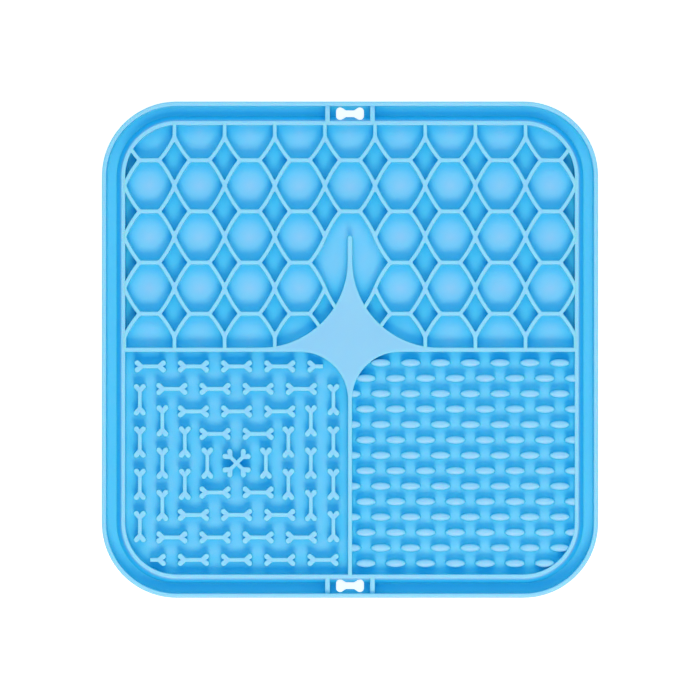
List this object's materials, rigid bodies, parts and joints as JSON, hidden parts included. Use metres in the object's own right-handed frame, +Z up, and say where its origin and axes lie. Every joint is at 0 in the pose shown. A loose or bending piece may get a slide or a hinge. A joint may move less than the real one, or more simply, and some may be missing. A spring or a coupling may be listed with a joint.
{
  "type": "lick mat",
  "caption": "Square silicone lick mat with hexagonal pockets, bone-shaped ribs and oval studs in fields of their own, inside a raised rim with a gutter and hanging holes.",
  "frame": {"origin": "under the middle of the mat, on the plane that the suction cups rest on", "axes": "+Z up, out of the licking side; +Y towards the field of hexagonal pockets; +X towards the field of oval studs, to the right in the picture"},
  "size_m": [0.15, 0.15, 0.0098],
  "materials": {
    "silicone": "satin"
  },
  "bodies": {
    "root": {"base_sheet": "silicone", "base_ends": "silicone", "hang_tab_top": "silicone", "hang_tab_bottom": "silicone", "tab_bars": "silicone", "tab_back_walls": "silicone", "outer_rim_sides": "silicone", "outer_rim_corners": "silicone", "inner_rim_sides": "silicone", "inner_rim_corners": "silicone", "divider_left": "silicone", "divider_right": "silicone", "divider_lower": "silicone", "star": "silicone", "hex_flat_ribs_1": "silicone", "hex_flat_ribs_2": "silicone", "hex_flat_ribs_3": "silicone", "hex_flat_ribs_4": "silicone", "hex_upper_left_ribs": "silicone", "hex_upper_right_ribs": "silicone", "hex_lower_left_ribs": "silicone", "hex_lower_right_ribs": "silicone", "hex_top_stems": "silicone", "hex_bottom_stems": "silicone", "crossed_bones": "silicone", "bone_ring_1": "silicone", "bone_ring_2": "silicone", "bone_ring_3": "silicone", "bone_ring_4": "silicone", "stud_row_1": "silicone", "stud_row_2": "silicone", "stud_row_3": "silicone", "stud_row_4": "silicone", "stud_row_5": "silicone", "stud_row_6": "silicone", "stud_row_7": "silicone", "stud_row_8": "silicone", "stud_row_9": "silicone", "stud_row_10": "silicone", "stud_row_11": "silicone", "stud_row_12": "silicone", "stud_row_13": "silicone", "stud_row_14": "silicone", "cup_row_1": "silicone", "cup_row_2": "silicone", "cup_row_3": "silicone", "cup_row_4": "silicone", "cup_row_5": "silicone", "cup_row_6": "silicone", "cup_row_7": "silicone"}
  },
  "joints": []
}
